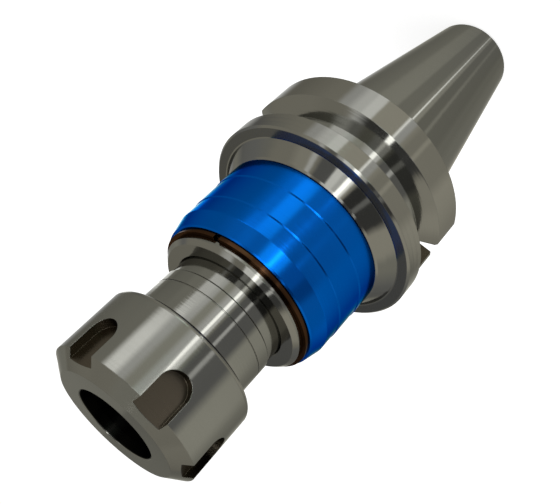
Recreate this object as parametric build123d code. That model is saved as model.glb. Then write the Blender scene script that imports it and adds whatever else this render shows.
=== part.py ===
from build123d import *
import os
from math import asin, cos, radians, sin, tan

# Floating collet chuck holder with a steep-taper shank, in millimetres.
# The origin is the centre of the taper's gauge plane and +Z runs along the axis to the nose.
# The spindle floats along Z in the shank, between a compression and a tension spring, and
# balls in its long grooves carry the torque.

os.makedirs("parts", exist_ok=True)

# Shank taper, size 40, 7:24
gauge_d = 44.45             # at z = 0
taper_len = 65.4            # gauge plane back to the small end
taper_rate = 7 / 24         # change of diameter per length
small_end_chamfer = 1.0
gauge_land = 2.0            # gauge plane to the flange's rear face

# Pull-stud hole, from the small end
pilot_d = 17.0
pilot_depth = 8.0
stud_drill_d = 14.0         # M16 tapping size
stud_thread_len = 28.0
drill_point = 118.0         # included angle

# Flange
flange_d = 63.0
flange_width = 25.0
rim_chamfer = 0.6
rear_rim_width = 9.6
grip_mouth = 9.4            # gripper groove, width at the rim
grip_depth = 5.0            # rim to the groove's floor
grip_angle = 60.0           # included
keyway_width = 16.1
keyway_floor = 22.5         # from the axis
keyway_end_z = 21.0
keyway_edge = 0.7            # chamfer along its mouth

# Boss between flange and sleeve
boss_lip = 0.5              # on the radius, over the sleeve's rear end
boss_flare = 3.1            # more at its base, on the radius
boss_len = 4.3
boss_chamfer = 0.45

# Barrel that the spindle slides in
barrel_bore_d = 32.1
barrel_wall = 4.95
barrel_front_z = 60.5
barrel_bevel = 1.1
barrel_floor_z = 4.0
bore_mouth_chamfer = 0.4

# Snap ring in front of the sleeve
ring_t = 1.2
ring_groove_depth = 1.1
ring_inner_clear = 0.1      # on the radius, over the groove's floor
ring_proud = 1.1            # on the radius, over the barrel
ring_gap = 1.6              # opening between its ends
ring_gap_angle = 116.0      # where the opening faces, about Z
ring_side_clear = 0.05

# Cover sleeve
sleeve_len = 25.6
sleeve_clear = 0.03         # on the radius, over the barrel
sleeve_rear_wall = 3.37
sleeve_mid_wall = 3.17
sleeve_front_wall = 2.97
sleeve_face_wall = 1.77
sleeve_step_1 = 6.9         # from the sleeve's rear end
sleeve_step_2 = 15.4
sleeve_bevel_len = 4.8
sleeve_step_len = 0.3       # each small shoulder, along the axis
sleeve_edge = 0.35

# Drive balls
ball_d = 6.0
ball_clear = 0.04           # on the radius, in holes and grooves
ball_cap_clear = 0.05       # ball to the sleeve's bore
ball_columns = 4
ball_first_angle = 45.0
ball_row_z = (35.0, 44.0)
ball_groove_run = 8.5       # groove past the front row

# Wiper ring in the mouth of the bore
wiper_z = 54.2
wiper_section = 1.6
wiper_clear = 0.05

# Floating spindle
spindle_clear = 0.05        # on the radius, in the barrel
spindle_rear_wall = 6.0
spindle_rear_chamfer = 0.5
neck_exposed = 4.7          # barrel's front face to the band
shoulder_step = 0.4         # on the radius, over the spindle
band_chamfer = 0.45
band_width = 3.8
band_line_w = 0.3
band_line_depth = 0.2
shoulder_len = 12.4         # from the band's rear edge
relief_depth = 1.2          # below the thread's major diameter
relief_len = 1.2
nose_thread_d = 32.0        # M32 x 1.5, at its major diameter
nose_thread_chamfer = 1.0
collet_mouth_d = 26.0
collet_half_angle = 8.0
collet_depth = 34.0
collet_mouth_chamfer = 0.4

# Float springs
press_spring_len = 19.0     # as fitted
press_spring_clear = 1.55   # on the radius, in the bore
press_wire_d = 3.2
press_coils = 4.0
press_washer_t = 1.5
press_washer_id = 12.0
press_washer_play = 0.3     # on the radius, in the bore
pull_spring_len = 17.0
pull_spring_d = 15.6
pull_wire_d = 2.2
pull_coils = 3.5

# Guide bolt
bolt_d = 10.0
bolt_slide_clear = 0.06     # on the radius, in the spindle
bolt_thread_d = 8.0
bolt_thread_len = 14.0
bolt_hole_extra = 2.0
bolt_thread_clear = 0.03
bolt_head_d = 15.2
bolt_head_len = 5.5
bolt_head_chamfer = 0.5
bolt_hex = 6.0              # across flats
bolt_hex_depth = 3.5
pull_washer_t = 1.5
pull_washer_d = 15.8
pull_washer_clear = 0.06

# Clamping nut
nut_wall = 5.0              # outside the thread
nut_len = 22.0
nut_gap = 0.4               # shoulder to the nut's back
nut_back_round = 1.5
nut_bevel_len = 3.0
nut_bevel_depth = 4.5
nut_opening_d = 21.4
nut_opening_chamfer = 0.3
nut_front_wall = 2.75
nut_thread_clear = 0.05
nut_thread_chamfer = 0.6
nose_reach = 13.5           # nut's back to the spindle's nose
nose_play = 0.5
slot_count = 6
slot_width = 8.0
slot_depth = 2.6
slot_len = 12.8             # nut's face to the slot's round end
slot_angle = 9.0            # first slot from a keyway, as the nut happens to stand

# Thrust ring in the nut, and its retaining clip
thrust_inset = 1.0          # on the radius, to pass the thread
thrust_clear = 0.05
thrust_cone_angle = 30.0
thrust_rear_wall = 1.7
clip_t = 0.8
clip_depth = 0.9            # into the nut's wall
clip_reach = 0.8            # on the radius, over the thrust ring's edge
clip_gap = 3.0
clip_side_clear = 0.05

# Sizes across the axis that follow from the others
small_end_d = gauge_d - taper_len * taper_rate
grip_floor_d = flange_d - 2 * grip_depth
barrel_d = barrel_bore_d + 2 * barrel_wall
ring_groove_d = barrel_d - 2 * ring_groove_depth
ring_inner_d = ring_groove_d + 2 * ring_inner_clear
ring_outer_d = barrel_d + 2 * ring_proud
sleeve_bore_d = barrel_d + 2 * sleeve_clear
sleeve_rear_d = sleeve_bore_d + 2 * sleeve_rear_wall
sleeve_mid_d = sleeve_bore_d + 2 * sleeve_mid_wall
sleeve_front_d = sleeve_bore_d + 2 * sleeve_front_wall
sleeve_face_d = sleeve_bore_d + 2 * sleeve_face_wall
boss_front_d = sleeve_rear_d + 2 * boss_lip
boss_base_d = boss_front_d + 2 * boss_flare
spindle_d = barrel_bore_d - 2 * spindle_clear
shoulder_d = spindle_d + 2 * shoulder_step
relief_d = nose_thread_d - 2 * relief_depth
press_spring_d = barrel_bore_d - 2 * press_spring_clear
nut_d = nose_thread_d + 2 * nut_wall
nut_face_d = nut_d - 2 * nut_bevel_depth
thrust_d = nose_thread_d - 2 * thrust_inset
thrust_rear_bore_d = thrust_d - 2 * thrust_rear_wall
clip_inner_d = thrust_d - 2 * clip_reach
collet_rear_d = collet_mouth_d - 2 * collet_depth * tan(radians(collet_half_angle))

# Places along the axis that follow from the sizes
small_end_z = -taper_len
flange_front_z = gauge_land + flange_width
groove_rear_z = gauge_land + rear_rim_width
groove_front_z = groove_rear_z + grip_mouth
boss_front_z = flange_front_z + boss_len
sleeve_front_z = boss_front_z + sleeve_len
ring_groove_z = sleeve_front_z
press_washer_z = barrel_floor_z + press_spring_len
spindle_rear_z = press_washer_z + press_washer_t
spring_pocket_z = spindle_rear_z + spindle_rear_wall
pull_washer_z = spring_pocket_z + pull_spring_len
bolt_head_z = pull_washer_z + pull_washer_t
band_z = barrel_front_z + neck_exposed
shoulder_front_z = band_z + shoulder_len
nut_back_z = shoulder_front_z + nut_gap
nut_face_z = nut_back_z + nut_len
nose_z = nut_back_z + nose_reach
thrust_bore_z = nose_z + nose_play
thrust_front_z = nut_face_z - nut_front_wall
collet_rear_z = nose_z - collet_depth
ball_angles = [ball_first_angle + k * 360 / ball_columns for k in range(ball_columns)]
ball_r_centre = barrel_d / 2 + sleeve_clear - ball_cap_clear - ball_d / 2


def turned(*corners):
    """Solid of revolution about Z from (diameter, z) corners."""
    outline = Polyline(*[(d / 2, z) for d, z in corners], close=True)
    return revolve(Plane.XZ * make_face(outline), Axis.Z)


def tube(outer_d, inner_d, z0, z1):
    """Plain ring between two heights."""
    ring = Circle(outer_d / 2) - Circle(inner_d / 2)
    return extrude(Plane.XY.offset(z0) * ring, z1 - z0)


def rod(d, z0, z1):
    """Plain cylinder between two heights."""
    return extrude(Plane.XY.offset(z0) * Circle(d / 2), z1 - z0)


def split(ring, gap, angle, reach):
    """Open a ring with parallel ends, facing the given angle about Z."""
    box = ring.bounding_box()
    height = box.size.Z + 2
    middle = (box.min.Z + box.max.Z) / 2
    cutter = Pos(reach / 2, 0, middle) * Box(reach, gap, height)
    return ring - Rot(0, 0, angle) * cutter


def coil_spring(outer_d, wire_d, z0, z1, coils):
    """Round-wire spring between two flat seats, its ends ground flat."""
    mean_r = (outer_d - wire_d) / 2
    path = Pos(0, 0, z0) * Helix(pitch=(z1 - z0) / coils, height=z1 - z0, radius=mean_r)
    section = Plane(path @ 0, z_dir=path % 0) * Circle(wire_d / 2)
    wire = sweep(section, path=path, is_frenet=True)
    return wire & rod(outer_d + 2, z0, z1)


def ball_place(angle, z):
    """Centre of a drive ball."""
    a = radians(angle)
    return Pos(ball_r_centre * cos(a), ball_r_centre * sin(a), z)


# Shank body: taper, flange, boss and barrel from one bar
groove_slope = (flange_d - grip_floor_d) / 2 * tan(radians(grip_angle / 2))
shank = turned(
    (0, small_end_z),
    (small_end_d - 2 * small_end_chamfer, small_end_z),
    (small_end_d + small_end_chamfer * taper_rate, small_end_z + small_end_chamfer),
    (gauge_d, 0),
    (gauge_d, gauge_land),
    (flange_d - 2 * rim_chamfer, gauge_land),
    (flange_d, gauge_land + rim_chamfer),
    (flange_d, groove_rear_z),
    (grip_floor_d, groove_rear_z + groove_slope),
    (grip_floor_d, groove_front_z - groove_slope),
    (flange_d, groove_front_z),
    (flange_d, flange_front_z - rim_chamfer),
    (flange_d - 2 * rim_chamfer, flange_front_z),
    (boss_base_d, flange_front_z),
    (boss_front_d, boss_front_z - boss_chamfer),
    (boss_front_d - 2 * boss_chamfer, boss_front_z),
    (barrel_d, boss_front_z),
    (barrel_d, ring_groove_z),
    (ring_groove_d, ring_groove_z),
    (ring_groove_d, ring_groove_z + ring_t + 2 * ring_side_clear),
    (barrel_d, ring_groove_z + ring_t + 2 * ring_side_clear),
    (barrel_d, barrel_front_z - barrel_bevel),
    (barrel_d - 2 * barrel_bevel, barrel_front_z),
    (0, barrel_front_z),
)
stud_thread_z = small_end_z + pilot_depth + stud_thread_len
stud_point = stud_drill_d / 2 / tan(radians(drill_point / 2))
shank -= turned(
    (0, small_end_z - 1),
    (pilot_d, small_end_z - 1),
    (pilot_d, small_end_z + pilot_depth),
    (stud_drill_d, small_end_z + pilot_depth),
    (stud_drill_d, stud_thread_z),
    (0, stud_thread_z + stud_point),
)
wiper_groove_d = barrel_bore_d + 2 * (wiper_section + wiper_clear)
wiper_groove_w = wiper_section + 2 * wiper_clear
shank -= turned(
    (0, barrel_floor_z),
    (barrel_bore_d, barrel_floor_z),
    (barrel_bore_d, wiper_z),
    (wiper_groove_d, wiper_z),
    (wiper_groove_d, wiper_z + wiper_groove_w),
    (barrel_bore_d, wiper_z + wiper_groove_w),
    (barrel_bore_d, barrel_front_z - bore_mouth_chamfer),
    (barrel_bore_d + 4 * bore_mouth_chamfer, barrel_front_z + bore_mouth_chamfer),
    (0, barrel_front_z + bore_mouth_chamfer),
)
bolt_hole_z = barrel_floor_z - bolt_thread_len - bolt_hole_extra
shank -= rod(bolt_thread_d + 2 * bolt_thread_clear, bolt_hole_z, barrel_floor_z)
keyway_len = keyway_end_z - gauge_land + 1
mouth_x = (flange_d / 2) * cos(asin(keyway_width / flange_d)) - keyway_edge
mouth_w = keyway_width / 2 + flange_d - mouth_x
keyway_outline = Polyline(
    (keyway_floor, -keyway_width / 2),
    (mouth_x, -keyway_width / 2),
    (flange_d, -mouth_w),
    (flange_d, mouth_w),
    (mouth_x, keyway_width / 2),
    (keyway_floor, keyway_width / 2),
    close=True,
)
keyway = extrude(Plane.XY.offset(keyway_end_z - keyway_len) * make_face(keyway_outline), keyway_len)
shank -= keyway
shank -= Rot(0, 0, 180) * keyway
ball_hole = Cylinder(ball_d / 2 + ball_clear, barrel_d, align=(Align.CENTER, Align.CENTER, Align.MIN))
for angle in ball_angles:
    for z in ball_row_z:
        shank -= Pos(0, 0, z) * Rot(0, 0, angle) * Rot(0, 90, 0) * ball_hole
export_step(shank, "parts/shank_body.step")

# Cover sleeve: turned shell that closes the ball holes
step_1_z = boss_front_z + sleeve_step_1
step_2_z = boss_front_z + sleeve_step_2
bevel_z = sleeve_front_z - sleeve_bevel_len
sleeve = turned(
    (sleeve_bore_d, boss_front_z),
    (sleeve_rear_d - 2 * sleeve_edge, boss_front_z),
    (sleeve_rear_d, boss_front_z + sleeve_edge),
    (sleeve_rear_d, step_1_z),
    (sleeve_mid_d, step_1_z + sleeve_step_len),
    (sleeve_mid_d, step_2_z),
    (sleeve_front_d, step_2_z + sleeve_step_len),
    (sleeve_front_d, bevel_z),
    (sleeve_face_d, sleeve_front_z - sleeve_edge),
    (sleeve_face_d - 2 * sleeve_edge, sleeve_front_z),
    (sleeve_bore_d, sleeve_front_z),
)
export_step(sleeve, "parts/cover_sleeve.step")

# Snap ring that keeps the sleeve on
snap_z = ring_groove_z + ring_side_clear
snap_ring = tube(ring_outer_d, ring_inner_d, snap_z, snap_z + ring_t)
snap_ring = split(snap_ring, ring_gap, ring_gap_angle, ring_outer_d)
export_step(snap_ring, "parts/sleeve_snap_ring.step")

# Drive balls, one node each
for i, angle in enumerate(ball_angles):
    for j, z in enumerate(ball_row_z):
        ball = ball_place(angle, z) * Sphere(ball_d / 2)
        export_step(ball, f"parts/drive_ball_{i * len(ball_row_z) + j + 1}.step")

# Wiper ring in the mouth of the bore
wiper_r = barrel_bore_d / 2 + wiper_section / 2
wiper = Pos(0, 0, wiper_z + wiper_groove_w / 2) * Torus(wiper_r, wiper_section / 2)
export_step(wiper, "parts/mouth_wiper_ring.step")

# Floating spindle: slides in the barrel, carries the collet seat and the nut's thread
line_z = band_z + band_width
relief_front_z = shoulder_front_z + relief_len
spindle = turned(
    (0, spindle_rear_z),
    (spindle_d - 2 * spindle_rear_chamfer, spindle_rear_z),
    (spindle_d, spindle_rear_z + spindle_rear_chamfer),
    (spindle_d, band_z),
    (shoulder_d - 2 * band_chamfer, band_z),
    (shoulder_d, band_z + band_chamfer),
    (shoulder_d, line_z),
    (shoulder_d - 2 * band_line_depth, line_z),
    (shoulder_d - 2 * band_line_depth, line_z + band_line_w),
    (shoulder_d, line_z + band_line_w),
    (shoulder_d, shoulder_front_z),
    (relief_d, shoulder_front_z),
    (relief_d, relief_front_z),
    (nose_thread_d, relief_front_z + (nose_thread_d - relief_d) / 2),
    (nose_thread_d, nose_z - nose_thread_chamfer),
    (nose_thread_d - 2 * nose_thread_chamfer, nose_z),
    (0, nose_z),
)
spindle -= turned(
    (0, spring_pocket_z),
    (collet_rear_d, spring_pocket_z),
    (collet_rear_d, collet_rear_z),
    (collet_mouth_d, nose_z),
    (collet_mouth_d, nose_z + 1),
    (0, nose_z + 1),
)
spindle -= rod(bolt_d + 2 * bolt_slide_clear, spindle_rear_z - 1, spring_pocket_z + 1)
groove_end_z = ball_row_z[-1] + ball_groove_run - ball_d / 2
for angle in ball_angles:
    track = ball_place(angle, spindle_rear_z - 1) * Cylinder(
        ball_d / 2 + ball_clear,
        groove_end_z - spindle_rear_z + 1,
        align=(Align.CENTER, Align.CENTER, Align.MIN),
    )
    spindle -= track
    spindle -= ball_place(angle, groove_end_z) * Sphere(ball_d / 2 + ball_clear)
export_step(spindle, "parts/floating_spindle.step")

# Compression side: spring on the bore's floor, washer under the spindle
press_spring = coil_spring(press_spring_d, press_wire_d, barrel_floor_z, press_washer_z, press_coils)
export_step(press_spring, "parts/compression_spring.step")
press_washer = tube(
    barrel_bore_d - 2 * press_washer_play, press_washer_id, press_washer_z, spindle_rear_z
)
export_step(press_washer, "parts/compression_washer.step")

# Tension side: spring inside the spindle, washer under the bolt's head
pull_spring = coil_spring(pull_spring_d, pull_wire_d, spring_pocket_z, pull_washer_z, pull_coils)
export_step(pull_spring, "parts/tension_spring.step")
pull_washer = tube(pull_washer_d, bolt_d + 2 * pull_washer_clear, pull_washer_z, bolt_head_z)
export_step(pull_washer, "parts/tension_washer.step")

# Guide bolt: shouldered on the bore's floor, its head holds the tension spring
bolt_top_z = bolt_head_z + bolt_head_len
bolt = turned(
    (0, barrel_floor_z - bolt_thread_len),
    (bolt_thread_d, barrel_floor_z - bolt_thread_len),
    (bolt_thread_d, barrel_floor_z),
    (bolt_d, barrel_floor_z),
    (bolt_d, bolt_head_z),
    (bolt_head_d, bolt_head_z),
    (bolt_head_d, bolt_top_z - bolt_head_chamfer),
    (bolt_head_d - 2 * bolt_head_chamfer, bolt_top_z),
    (0, bolt_top_z),
)
hex_socket = RegularPolygon(bolt_hex / 2, 6, major_radius=False)
bolt -= extrude(Plane.XY.offset(bolt_top_z - bolt_hex_depth) * hex_socket, bolt_hex_depth)
export_step(bolt, "parts/guide_bolt.step")

# Clamping nut: bevelled cap with spanner slots
nut_bore_d = nose_thread_d + 2 * nut_thread_clear
thrust_bore_d = thrust_d + 2 * thrust_clear
clip_groove_w = clip_t + 2 * clip_side_clear
nut = turned(
    (0, nut_back_z),
    (nut_d, nut_back_z),
    (nut_d, nut_face_z - nut_bevel_len),
    (nut_face_d, nut_face_z),
    (0, nut_face_z),
)
back_edge = nut.edges().filter_by(GeomType.CIRCLE).group_by(Axis.Z)[0]
nut = fillet(back_edge, nut_back_round)
nut -= turned(
    (0, nut_back_z - nut_thread_chamfer),
    (nut_bore_d + 4 * nut_thread_chamfer, nut_back_z - nut_thread_chamfer),
    (nut_bore_d, nut_back_z + nut_thread_chamfer),
    (nut_bore_d, thrust_bore_z),
    (thrust_bore_d + 2 * clip_depth, thrust_bore_z),
    (thrust_bore_d + 2 * clip_depth, thrust_bore_z + clip_groove_w),
    (thrust_bore_d, thrust_bore_z + clip_groove_w),
    (thrust_bore_d, thrust_front_z),
    (nut_opening_d, thrust_front_z),
    (nut_opening_d, nut_face_z - nut_opening_chamfer),
    (nut_opening_d + 4 * nut_opening_chamfer, nut_face_z + nut_opening_chamfer),
    (0, nut_face_z + nut_opening_chamfer),
)
slot_floor = nut_d / 2 - slot_depth
slot_round_z = nut_face_z - slot_len + slot_width / 2
slot = Pos(slot_floor, 0, slot_round_z) * Box(
    nut_d, slot_width, slot_len, align=(Align.MIN, Align.CENTER, Align.MIN)
)
slot += Pos(slot_floor, 0, slot_round_z) * Rot(0, 90, 0) * Cylinder(
    slot_width / 2, nut_d, align=(Align.CENTER, Align.CENTER, Align.MIN)
)
for k in range(slot_count):
    nut -= Rot(0, 0, slot_angle + k * 360 / slot_count) * slot
export_step(nut, "parts/clamping_nut.step")

# Thrust ring: turns in the nut and presses on the collet's front cone
thrust_rear_z = thrust_bore_z + clip_groove_w + clip_side_clear
thrust_len = thrust_front_z - clip_side_clear - thrust_rear_z
thrust_front_bore_d = thrust_rear_bore_d - 2 * thrust_len * tan(radians(thrust_cone_angle))
thrust_ring = turned(
    (thrust_rear_bore_d, thrust_rear_z),
    (thrust_d, thrust_rear_z),
    (thrust_d, thrust_rear_z + thrust_len),
    (thrust_front_bore_d, thrust_rear_z + thrust_len),
)
export_step(thrust_ring, "parts/nut_thrust_ring.step")

# Clip that keeps the thrust ring in the nut
clip_z = thrust_bore_z + clip_side_clear
clip_outer_d = thrust_bore_d + 2 * clip_depth - 4 * clip_side_clear
clip = tube(clip_outer_d, clip_inner_d, clip_z, clip_z + clip_t)
clip = split(clip, clip_gap, 0, clip_outer_d)
export_step(clip, "parts/thrust_ring_clip.step")
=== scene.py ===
from collections import namedtuple
from math import pi, radians

import bpy
from mathutils import Matrix, Vector


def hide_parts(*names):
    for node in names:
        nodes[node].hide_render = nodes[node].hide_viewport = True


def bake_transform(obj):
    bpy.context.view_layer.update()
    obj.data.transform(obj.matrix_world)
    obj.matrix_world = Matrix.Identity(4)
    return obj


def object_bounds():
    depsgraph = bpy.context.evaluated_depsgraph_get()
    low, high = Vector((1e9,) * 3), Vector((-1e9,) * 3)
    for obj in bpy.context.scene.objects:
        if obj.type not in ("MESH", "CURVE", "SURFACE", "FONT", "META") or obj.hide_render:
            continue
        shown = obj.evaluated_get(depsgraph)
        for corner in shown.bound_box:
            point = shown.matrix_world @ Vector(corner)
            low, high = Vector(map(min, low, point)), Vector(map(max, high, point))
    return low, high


# Floating collet chuck holder, stood nose up on its small end, its axis on Z. Metres.
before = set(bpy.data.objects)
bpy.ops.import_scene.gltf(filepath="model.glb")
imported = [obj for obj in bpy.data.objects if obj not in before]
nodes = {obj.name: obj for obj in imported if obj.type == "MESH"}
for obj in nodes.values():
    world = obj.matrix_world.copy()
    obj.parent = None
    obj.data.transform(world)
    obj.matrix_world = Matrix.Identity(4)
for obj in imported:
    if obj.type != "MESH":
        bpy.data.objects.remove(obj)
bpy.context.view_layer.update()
floor_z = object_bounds()[0][2]

# Camera, fitted to the photograph's circles of revolution
sensor_mm = 36.0
lens_mm = 48.222
camera_place = (0.032045, 0.167031, 0.137851)
camera_right = (0.771196, 0.207797, -0.601729)
camera_up = (-0.614896, 0.48785, -0.619601)
camera_near = 0.01
camera_far = 20.0


def make_camera():
    data = bpy.data.cameras.new("camera")
    data.sensor_width = sensor_mm
    data.lens = lens_mm
    data.clip_start = camera_near
    data.clip_end = camera_far
    camera = bpy.data.objects.new("camera", data)
    bpy.context.collection.objects.link(camera)
    right = Vector(camera_right).normalized()
    up = Vector(camera_up).normalized()
    turn = Matrix((right, up, right.cross(up))).transposed().to_4x4()
    camera.matrix_world = Matrix.Translation(camera_place) @ turn
    bpy.context.scene.camera = camera


make_camera()
bpy.context.scene.view_settings.view_transform = "Standard"

white = (1.0, 1.0, 1.0)


def opaque(tint, level=1.0):
    """A colour at a brightness, with its alpha."""
    return (level * tint[0], level * tint[1], level * tint[2], 1.0)


class Graph:
    """Short calls for building a node tree. A value is a number, a vector, a colour or a socket."""

    def __init__(self, tree):
        self.tree = tree
        self.tree.nodes.clear()

    def add(self, kind, **settings):
        node = self.tree.nodes.new(kind)
        for name, value in settings.items():
            setattr(node, name, value)
        return node

    def link(self, source, target):
        self.tree.links.new(source, target)

    def put(self, value, socket):
        if isinstance(value, bpy.types.NodeSocket):
            self.link(value, socket)
        else:
            socket.default_value = value

    def math(self, operation, a, b=0.0, clamp=False):
        node = self.add("ShaderNodeMath", operation=operation, use_clamp=clamp)
        self.put(a, node.inputs[0])
        self.put(b, node.inputs[1])
        return node.outputs[0]

    def plus(self, a, b):
        return self.math("ADD", a, b)

    def minus(self, a, b):
        return self.math("SUBTRACT", a, b)

    def times(self, *factors):
        product = factors[0]
        for factor in factors[1:]:
            product = self.math("MULTIPLY", product, factor)
        return product

    def absolute(self, value):
        return self.math("ABSOLUTE", value)

    def step(self, value, start, end):
        """0 before start and 1 past end, with a straight run between; start may be past end."""
        return self.math("DIVIDE", self.minus(value, start), end - start, clamp=True)

    def vector(self, operation, a, b=(0.0, 0.0, 0.0)):
        node = self.add("ShaderNodeVectorMath", operation=operation)
        self.put(a, node.inputs[0])
        self.put(b, node.inputs[1])
        return node.outputs["Vector"]

    def measure(self, operation, a, b=(0.0, 0.0, 0.0)):
        """A number got from vectors, such as a length or a dot product."""
        node = self.add("ShaderNodeVectorMath", operation=operation)
        self.put(a, node.inputs[0])
        self.put(b, node.inputs[1])
        return node.outputs["Value"]

    def scale(self, vector, factor):
        node = self.add("ShaderNodeVectorMath", operation="SCALE")
        self.link(vector, node.inputs[0])
        self.put(factor, node.inputs["Scale"])
        return node.outputs["Vector"]

    def split(self, vector):
        node = self.add("ShaderNodeSeparateXYZ")
        self.link(vector, node.inputs[0])
        return node.outputs["X"], node.outputs["Y"], node.outputs["Z"]

    def noise(self, place, scale, detail=2.0, roughness=0.5, dimensions="3D"):
        node = self.add("ShaderNodeTexNoise", noise_dimensions=dimensions)
        self.link(place, node.inputs["Vector"])
        node.inputs["Scale"].default_value = scale
        node.inputs["Detail"].default_value = detail
        node.inputs["Roughness"].default_value = roughness
        return node.outputs["Fac"]

    def ramp(self, value, stops):
        node = self.add("ShaderNodeValToRGB")
        elements = node.color_ramp.elements
        while len(elements) < len(stops):
            elements.new(0.5)
        for element, (place, colour) in zip(elements, stops):
            element.position = place
            element.color = colour
        self.link(value, node.inputs[0])
        return node.outputs[0]

    def mix(self, factor, a, b):
        """A mix of colours, whose sockets come after those for numbers and vectors."""
        node = self.add("ShaderNodeMix", data_type="RGBA")
        self.put(factor, node.inputs[0])
        self.put(a, node.inputs[6])
        self.put(b, node.inputs[7])
        return node.outputs[2]

    def end(self, shader, kind="Material"):
        out = self.add(f"ShaderNodeOutput{kind}")
        self.link(shader.outputs[0], out.inputs["Surface"])


def new_material(name):
    material = bpy.data.materials.new(name)
    material.use_nodes = True
    return material, Graph(material.node_tree)


room = (1.0, 0.98, 0.84)
warm_room = (1.0, 0.955, 0.80)
daylight = (1.0, 1.0, 0.96)
cyan_gel = (0.95, 1.2, 1.0)
wall_levels = (0.34, 0.8)


def glow(level, walls=room):
    """The room's walls are warm, its lights and dark flags neutral."""
    is_wall = wall_levels[0] < level < wall_levels[1]
    return opaque(walls if is_wall else daylight, level)


# Studio that the metal mirrors: rings of panels round the object, one above another. A panel is its
# start in degrees round from the camera's side, the width of the soft edge there, its brightness and,
# for a gel, its colour. The degrees run to the right for one who stands upright at the camera.
ring_zenith = (
    (-180, 0, 0.44),
    (-82, 8, 0.09),             # dark canopy over the camera
    (-7, 2, 3.6),               # strip lamp
    (9, 2, 0.07),
    (82, 8, 0.44),
)
ring_top = (
    (-180, 0, 0.42),
    (-115, 10, 0.58),
    (-76, 10, 0.10),            # dark curtain's rail
    (-41, 2, 1.1),              # narrow lamp
    (-34, 2, 0.13),
    (-13, 4, 1.3),              # strip lamp and its housing
    (-3.5, 1, 2.8),
    (-1, 1, 4.0),
    (6.5, 2, 1.5),
    (30, 3, 0.38),
    (56, 6, 0.95),              # soft box's top
    (78, 6, 0.42),
)
ring_upper = (
    (-180, 0, 0.22),            # back wall
    (-158, 10, 0.48),
    (-118, 8, 0.66),            # left wall
    (-59, 9, 0.09),             # dark curtain
    (-31, 1.5, 0.32),           # narrow lamp
    (-25, 2, 0.07),
    (-8, 3, 0.60),
    (-4, 1.5, 2.1),             # strip lamp
    (-1, 1, 4.2),
    (4.5, 1, 1.1),
    (11, 3, 1.5),               # its housing
    (21, 1.5, 0.21),
    (40, 4, 0.45),
    (45, 3, 1.0),               # soft box
    (51, 3, 0.58),
    (68, 10, 0.45),             # right wall
)
ring_high = (
    (-180, 0, 0.48),            # back wall's top
    (-150, 20, 0.33),
    (-118, 20, 0.45),
    (-58, 8, 0.21),             # dark curtain's top
    (-38, 4, 0.34),
    (-13, 4, 1.1, cyan_gel),    # strip lamp and its housing
    (-2.5, 1, 4.5),
    (2.5, 1, 1.15, cyan_gel),
    (16, 5, 0.5),
    (34, 8, 0.62),              # soft box's top
    (48, 8, 0.5),
    (70, 20, 0.38),
    (104, 20, 0.34),
    (136, 10, 0.62),
)
ring_nut = (
    (-180, 0, 0.70),            # back wall
    (-146, 16, 0.52),
    (-110, 20, 0.69),           # left wall
    (-60, 14, 0.25),            # dark curtain
    (-28.5, 2, 0.85),           # narrow lamp
    (-22, 2, 0.21),
    (-11, 4, 0.42),
    (-6.5, 2, 1.55),            # strip lamp
    (0, 1, 3.2),
    (4, 2, 0.85),
    (14, 6, 0.58),              # pale wall
    (30, 8, 0.88),              # soft box
    (43, 8, 1.85),
    (63, 8, 0.40),              # right wall
    (128, 20, 0.44),
    (146, 12, 0.82),            # window
)
ring_spindle = (
    (-180, 0, 0.50),
    (-104, 30, 0.60),
    (-59, 12, 0.23),            # dark curtain
    (-27.5, 2, 0.98),           # narrow lamp
    (-22, 2, 0.23),
    (-9.5, 3, 0.45),
    (-5.5, 1.5, 1.3),           # strip lamp
    (-0.5, 1, 3.3),
    (4.5, 1, 1.1),
    (14, 10, 0.60),
    (30, 6, 0.95),              # soft box
    (38, 6, 1.15),
    (59, 5, 0.42),              # right wall
    (85, 10, 0.36),
    (128, 8, 0.5),
    (140, 6, 2.2),              # window
)
ring_sleeve = (
    (-180, 0, 0.72),            # back wall
    (-134, 16, 0.45),
    (-94, 16, 0.48),            # left wall
    (-8, 3, 0.42),
    (9, 4, 0.50),
    (21, 4, 1.15, cyan_gel),    # soft box
    (43, 5, 0.66),
    (58, 5, 0.5),
    (70, 12, 0.36),             # right wall
    (95, 20, 0.32),
    (138, 12, 0.9),             # window
)
ring_flange = (
    (-180, 0, 0.74),            # back wall
    (-140, 20, 0.73),
    (-70, 14, 0.52),            # curtain's hem
    (-31, 2, 0.72),             # narrow lamp
    (-26.5, 2, 0.50),
    (-14, 4, 0.60),
    (-9, 3, 0.82),              # strip lamp, thinner here
    (-1, 1, 2.2),
    (1.5, 1, 0.72),
    (29, 2, 1.45),              # soft box
    (41, 3, 1.2),
    (54, 8, 0.80),
    (67, 6, 0.47),              # right wall
    (90, 10, 0.45),
    (142, 14, 0.95),            # window
)
ring_taper = (
    (-180, 0, 0.64),            # back wall
    (-132, 30, 0.56),
    (-105, 20, 0.44),           # left wall
    (-80, 12, 0.36),
    (-43, 3, 0.55),             # narrow lamp's foot
    (-36, 3, 0.36),
    (-13.5, 4, 0.68),           # strip lamp's foot
    (-4, 1, 2.3),
    (-1, 1, 0.62),
    (7, 8, 0.43),               # pale wall
    (38, 5, 0.60),              # soft box's foot
    (82, 10, 0.48),             # right wall
    (136, 12, 0.60),            # window's foot
)
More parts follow.
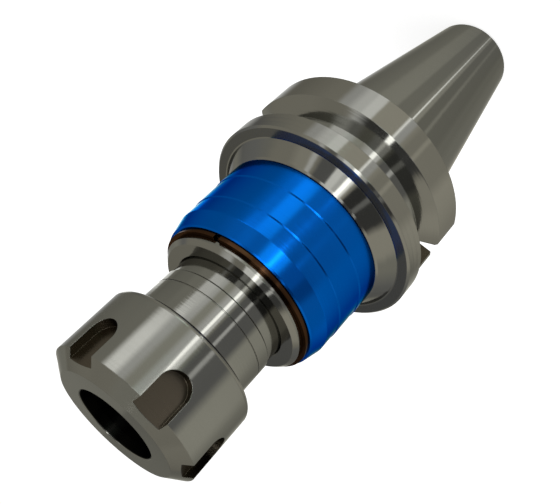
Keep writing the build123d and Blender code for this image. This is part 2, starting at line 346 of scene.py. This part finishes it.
# Upper edge of each ring, as the Z of the mirrored ray, its softness and its walls' tint. Most rings
# are named after what shows them in the photograph's view.
rings = (
    (0.94, 0.03, ring_top, warm_room),
    (0.76, 0.08, ring_upper, warm_room),
    (0.33, 0.06, ring_high, room),
    (-0.19, 0.03, ring_nut, room),
    (-0.365, 0.02, ring_spindle, room),
    (-0.495, 0.03, ring_sleeve, room),
    (-0.595, 0.01, ring_flange, warm_room),
    (-0.75, 0.06, ring_taper, room),
)
ground_edge = (-0.89, -0.98)
ground_level = 0.33
fill_level = 0.55
camera_side = 79.0      # degrees round Z


def ring_stops(ring, walls=room):
    """Colour ramp stops for a ring of panels, over a whole turn."""
    stops = []
    for start, edge, level, *gel in ring:
        colour = opaque(gel[0], level) if gel else glow(level, walls)
        if stops:
            stops.append(((start - edge / 2 + 180) / 360, stops[-1][1]))
        stops.append(((start + edge / 2 + 180) / 360, colour))
    return stops


def make_world():
    """Metal mirrors the studio, other light from the world is plain, and the camera sees white."""
    world = bpy.data.worlds.new("studio")
    world.use_nodes = True
    bpy.context.scene.world = world
    g = Graph(world.node_tree)
    coords = g.add("ShaderNodeTexCoord")
    turn = g.add("ShaderNodeVectorRotate", rotation_type="Z_AXIS")
    turn.inputs["Angle"].default_value = radians(-camera_side)
    g.link(coords.outputs["Generated"], turn.inputs["Vector"])
    x, y, height = g.split(turn.outputs[0])
    place = g.plus(g.math("DIVIDE", g.math("ARCTAN2", y, x), 2 * pi), 0.5)
    around = g.ramp(place, ring_stops(ring_zenith))
    for top, soft, ring, walls in rings:
        below = g.step(height, top + soft / 2, top - soft / 2)
        around = g.mix(below, around, g.ramp(place, ring_stops(ring, walls)))
    around = g.mix(g.step(height, *ground_edge), around, glow(ground_level))
    path = g.add("ShaderNodeLightPath")
    mirror = g.math("MAXIMUM", path.outputs["Is Glossy Ray"], path.outputs["Is Transmission Ray"])
    lit = g.mix(mirror, opaque(white, fill_level), around)
    seen = g.mix(path.outputs["Is Camera Ray"], lit, opaque(white))
    background = g.add("ShaderNodeBackground")
    g.link(seen, background.inputs["Color"])
    g.end(background, "World")


def make_lamp(name, place, aim, size, watts):
    """A square lamp that neither the camera nor a mirror sees."""
    data = bpy.data.lights.new(name, "AREA")
    data.shape = "SQUARE"
    data.size = size
    data.energy = watts
    lamp = bpy.data.objects.new(name, data)
    bpy.context.collection.objects.link(lamp)
    lamp.location = place
    lamp.rotation_mode = "QUATERNION"
    lamp.rotation_quaternion = (Vector(aim) - Vector(place)).to_track_quat("-Z", "Y")
    lamp.visible_camera = False
    lamp.visible_glossy = False


floor_reach = 4.0
floor_tone = 0.5
floor_glow = 0.76       # added for the camera alone, so that the lit floor shows white


def make_floor():
    mesh = bpy.data.meshes.new("floor")
    corners = ((-1, -1), (1, -1), (1, 1), (-1, 1))
    mesh.from_pydata([(floor_reach * x, floor_reach * y, floor_z) for x, y in corners], [], [(0, 1, 2, 3)])
    floor = bpy.data.objects.new("floor", mesh)
    bpy.context.collection.objects.link(floor)
    material, g = new_material("floor_white")
    plain = g.add("ShaderNodeBsdfDiffuse")
    plain.inputs["Color"].default_value = opaque(white, floor_tone)
    glowing = g.add("ShaderNodeEmission")
    glowing.inputs["Color"].default_value = opaque(white)
    path = g.add("ShaderNodeLightPath")
    g.link(g.times(path.outputs["Is Camera Ray"], floor_glow), glowing.inputs["Strength"])
    both = g.add("ShaderNodeAddShader")
    g.link(plain.outputs[0], both.inputs[0])
    g.link(glowing.outputs[0], both.inputs[1])
    g.end(both)
    mesh.materials.append(material)
    floor.visible_glossy = False


make_world()
make_floor()
make_lamp("overhead", place=(0.25, 0.1, 0.9), aim=(0, 0, 0), size=0.7, watts=6.0)

# A place on the part: its own coordinates and its distance from the axis
Spot = namedtuple("Spot", "x y z radius")

# Where the masks on the metal end, in metres. A pair is the value where a mask is 0 and the one where
# it is 1.
nut_radius = 0.021
nut_bevel_z = 0.097
nut_bevel_slope = 1.5               # radius lost along the bevel for each metre of height
slot_depth = (0.00005, 0.0001)      # under the nut's turned outside
slot_rear = (0.0864, 0.0866)
slot_inner = (0.0169, 0.0171)
nut_opening = (0.0109, 0.0108)
key_side = (0.0083, 0.00815)
key_floor = (0.0222, 0.0223)
key_outer = (0.0315, 0.0314)
key_rear = (0.0018, 0.0019)
key_front = (0.0212, 0.0211)
face_z = 0.027
face_reach = (0.00005, 0.00004)
face_inner = (0.0283, 0.0284)
face_share = 0.66                   # the face's mask at its fullest
groove_z = 0.0163
groove_reach = (0.0022, 0.0018)
groove_floor = (0.0267, 0.0266)
nose_bore = (0.0135, 0.0134)
nose_rear = (0.05, 0.06)


def nut_masks(g, spot):
    """The spanner slots' floors and walls, cut by milling and painted with shade, and the opening, painted
    dark as shade inside the bore.
    """
    lost = g.times(g.minus(spot.z, nut_bevel_z), nut_bevel_slope)
    outside = g.math("MINIMUM", nut_radius, g.minus(nut_radius, lost))
    slots = g.times(
        g.step(g.minus(outside, spot.radius), *slot_depth),
        g.step(spot.z, *slot_rear),
        g.step(spot.radius, *slot_inner),
    )
    return {"milling_and_shade": slots, "bore_shade": g.step(spot.radius, *nut_opening)}


def shank_masks(g, spot):
    """The keyways, cut by milling and painted with shade, the gripper groove's crowned floor and the
    flange's front face, painted dark and made less metallic as shade in place of its dark reflection.
    """
    keyways = g.times(
        g.step(g.absolute(spot.y), *key_side),
        g.step(g.absolute(spot.x), *key_floor),
        g.step(spot.radius, *key_outer),
        g.step(spot.z, *key_rear),
        g.step(spot.z, *key_front),
    )
    groove = g.times(
        g.step(g.absolute(g.minus(spot.z, groove_z)), *groove_reach),
        g.step(spot.radius, *groove_floor),
    )
    # The flange's front face, where shade is painted
    face = g.times(
        g.step(g.absolute(g.minus(spot.z, face_z)), *face_reach),
        g.step(spot.radius, *face_inner),
        face_share,
    )
    return {"milling_and_shade": keyways, "crowned": groove, "face_shade": face}


def bore_masks(g, spot):
    """The inside of the nose, painted dark as shade."""
    inside = g.times(g.step(spot.radius, *nose_bore), g.step(spot.z, *nose_rear))
    return {"bore_shade": inside}


# The finish of all metal: fine rings left by turning and grinding, stains and soft edges
ring_size = 0.0004
ring_detail = 3.0
ring_roughness = 0.6
stain_scale = 90.0
stain_detail = 4.0
stain_shade = 0.8           # a stain's brightness beside the clean metal's
unevenness = 0.06           # of the roughness, by rings and by stains
edge_radius = 0.0002
# What the masks bring: painted shade in the cuts, inside the bores and on the flange's front face, more
# roughness and a leaning normal
# Painted shade in the cuts: walls darker than floors, both darker than the turned metal
painted_wall_shade_in_cuts = (0.07, 0.06, 0.045)
painted_floor_shade_in_cuts = (0.14, 0.118, 0.092)
painted_keyway_floor_shade = (0.05, 0.042, 0.034)
facing_out = (0.5, 0.9)     # how far a cut's wall or floor faces away from the axis
cut_roughness = 0.15        # added
# Painted shade inside the bores
painted_bore_tone = (0.012, 0.012, 0.011)
# Painted shade on the flange's front face, in place of the dark reflection it shows; the mask also takes
# away part of its metallic look
painted_face_tone = (0.035, 0.037, 0.036)
shaded_face_metal_loss = 0.27            # of the metallic look
crown_lean = 0.12           # of the normal, toward the nose


def metal(
    name,
    colour,
    roughness,
    along=1.0,
    lines=0.15,
    stains=0.2,
    glancing=(0.5, 0.5, 0.5),
    find_masks=None,
    floor_shade_in_cut=painted_floor_shade_in_cuts,
):
    """Turned metal, whose fine rings about Z lean its normal and vary its gloss.

    along says how far the rings draw out a reflection, lines how far they lean the normal and stains how
    much of the stains shows. glancing is the tint at a slant. find_masks gives the places that differ.
    """
    material, g = new_material(name)
    coords = g.add("ShaderNodeTexCoord")
    place = coords.outputs["Object"]
    x, y, z = g.split(place)
    across = g.vector("MULTIPLY", place, (1.0, 1.0, 0.0))
    radius = g.measure("LENGTH", across)
    masks = find_masks(g, Spot(x, y, z, radius)) if find_masks else {}

    profile = g.add("ShaderNodeCombineXYZ")
    g.link(radius, profile.inputs["X"])
    g.link(z, profile.inputs["Y"])
    ring_noise = g.noise(profile.outputs[0], 1.0 / ring_size, ring_detail, ring_roughness, "2D")
    stain_noise = g.noise(place, stain_scale, stain_detail)
    ringed = g.times(g.minus(ring_noise, 0.5), unevenness)
    stained = g.times(g.minus(stain_noise, 0.5), unevenness)
    gloss = g.plus(g.plus(stained, ringed), roughness)
    for cut in ("milling_and_shade", "bore_shade"):
        if cut in masks:
            gloss = g.plus(gloss, g.times(masks[cut], cut_roughness))

    stain = g.math("MULTIPLY", stain_noise, stains, clamp=True)
    tone = g.mix(stain, opaque(colour), opaque(colour, stain_shade))
    # Painted shade in the cuts: a cut's walls darker than its floor
    if "milling_and_shade" in masks:
        outward = g.measure("DOT_PRODUCT", coords.outputs["Normal"], g.vector("NORMALIZE", across))
        is_floor = g.step(g.absolute(outward), *facing_out)
        tone = g.mix(masks["milling_and_shade"], tone, g.mix(is_floor, opaque(painted_wall_shade_in_cuts), opaque(floor_shade_in_cut)))
    # Painted shade inside the bores
    if "bore_shade" in masks:
        tone = g.mix(masks["bore_shade"], tone, opaque(painted_bore_tone))
    # Painted shade on the flange's front face
    if "face_shade" in masks:
        tone = g.mix(masks["face_shade"], tone, opaque(painted_face_tone))

    to_world = g.add(
        "ShaderNodeVectorTransform",
        vector_type="VECTOR",
        convert_from="OBJECT",
        convert_to="WORLD",
    )
    g.link(g.vector("CROSS_PRODUCT", (0.0, 0.0, 1.0), place), to_world.inputs[0])
    ring_way = g.vector("NORMALIZE", to_world.outputs[0])
    rounded = g.add("ShaderNodeBevel", samples=4)
    rounded.inputs["Radius"].default_value = edge_radius
    across_rings = g.vector("CROSS_PRODUCT", rounded.outputs[0], ring_way)
    lean = g.times(g.minus(ring_noise, 0.5), lines)
    if "crowned" in masks:
        lean = g.plus(lean, g.times(masks["crowned"], crown_lean))
    leaning = g.vector("ADD", rounded.outputs[0], g.scale(across_rings, lean))

    shader = g.add("ShaderNodeBsdfPrincipled")
    shader.inputs["Metallic"].default_value = 1.0
    if "face_shade" in masks:
        g.link(g.minus(1.0, g.times(masks["face_shade"], shaded_face_metal_loss)), shader.inputs["Metallic"])
    shader.inputs["Anisotropic"].default_value = along
    shader.inputs["Anisotropic Rotation"].default_value = 0.25
    shader.inputs["Specular Tint"].default_value = opaque(glancing)
    g.link(tone, shader.inputs["Base Color"])
    g.link(gloss, shader.inputs["Roughness"])
    g.link(g.vector("NORMALIZE", leaning), shader.inputs["Normal"])
    g.link(ring_way, shader.inputs["Tangent"])
    g.end(shader)
    return material


grain_scale = 3000.0
grain_height = 0.00003
grain_strength = 0.3
dust_scale = 200.0
dust_shade = 2.0            # dust's brightness beside the rubber's
clean_roughness = 0.45
dust_roughness = 0.3        # added


def rubber(name, colour):
    """Moulded rubber: matt, with a fine grain and paler dust."""
    material, g = new_material(name)
    place = g.add("ShaderNodeTexCoord").outputs["Object"]
    dust = g.noise(place, dust_scale)
    bump = g.add("ShaderNodeBump")
    bump.inputs["Strength"].default_value = grain_strength
    bump.inputs["Distance"].default_value = grain_height
    g.link(g.noise(place, grain_scale), bump.inputs["Height"])
    shader = g.add("ShaderNodeBsdfPrincipled")
    g.link(g.mix(dust, opaque(colour), opaque(colour, dust_shade)), shader.inputs["Base Color"])
    g.link(g.plus(g.times(dust, dust_roughness), clean_roughness), shader.inputs["Roughness"])
    g.link(bump.outputs[0], shader.inputs["Normal"])
    g.end(shader)
    return material


steel = (0.29, 0.29, 0.275)
shank_steel = metal(
    "shank_ground_steel",
    steel,
    roughness=0.085,
    along=0.8,
    lines=0.05,
    find_masks=shank_masks,
    floor_shade_in_cut=painted_keyway_floor_shade,
)
nut_steel = metal(
    "nut_turned_steel", steel, roughness=0.13, along=0.9, lines=0.06, find_masks=nut_masks
)
spindle_steel = metal(
    "spindle_ground_steel", steel, roughness=0.09, along=0.8, lines=0.05, find_masks=bore_masks
)
sleeve_blue = metal(
    "sleeve_blue_anodised",
    (0.002, 0.144, 0.73),
    roughness=0.16,
    along=0.0,
    lines=0.03,
    stains=0.08,
    glancing=(0.0, 0.3, 0.4),
)
snap_ring_brown = metal("snap_ring_brown", (0.07, 0.034, 0.017), roughness=0.15, along=0.8)
spring_steel = metal("spring_wire_steel", (0.2, 0.2, 0.2), roughness=0.3, along=0.3)
washer_steel = metal("washer_steel", (0.27, 0.27, 0.26), roughness=0.3, along=0.5)
bolt_black = metal("bolt_black_oxide", (0.035, 0.035, 0.04), roughness=0.4, along=0.3)
ring_steel = metal("thrust_ring_steel", (0.28, 0.28, 0.26), roughness=0.22, find_masks=bore_masks)
ball_steel = metal("ball_chrome_steel", (0.5, 0.5, 0.5), roughness=0.08, along=0.0)
wiper_rubber = rubber("wiper_black_rubber", (0.018, 0.018, 0.018))

dresses = {
    "shank_body": shank_steel,
    "cover_sleeve": sleeve_blue,
    "sleeve_snap_ring": snap_ring_brown,
    "mouth_wiper_ring": wiper_rubber,
    "floating_spindle": spindle_steel,
    "clamping_nut": nut_steel,
    "nut_thrust_ring": ring_steel,
    "thrust_ring_clip": spring_steel,
    "compression_spring": spring_steel,
    "tension_spring": spring_steel,
    "compression_washer": washer_steel,
    "tension_washer": washer_steel,
    "guide_bolt": bolt_black,
}
for number in range(1, 9):
    dresses[f"drive_ball_{number}"] = ball_steel
for node, material in dresses.items():
    for slot in nodes[node].material_slots:
        slot.material = material


def live_spring(node):
    """A copy of a spring's mesh, set where its CAD node stands, in place of that node, which is hidden.
    """
    stiff = nodes[node]
    spring = bpy.data.objects.new(f"{node}_coil", stiff.data.copy())
    bpy.context.collection.objects.link(spring)
    spring.matrix_world = stiff.matrix_world.copy()
    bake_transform(spring)
    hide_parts(node)


live_spring("compression_spring")
live_spring("tension_spring")
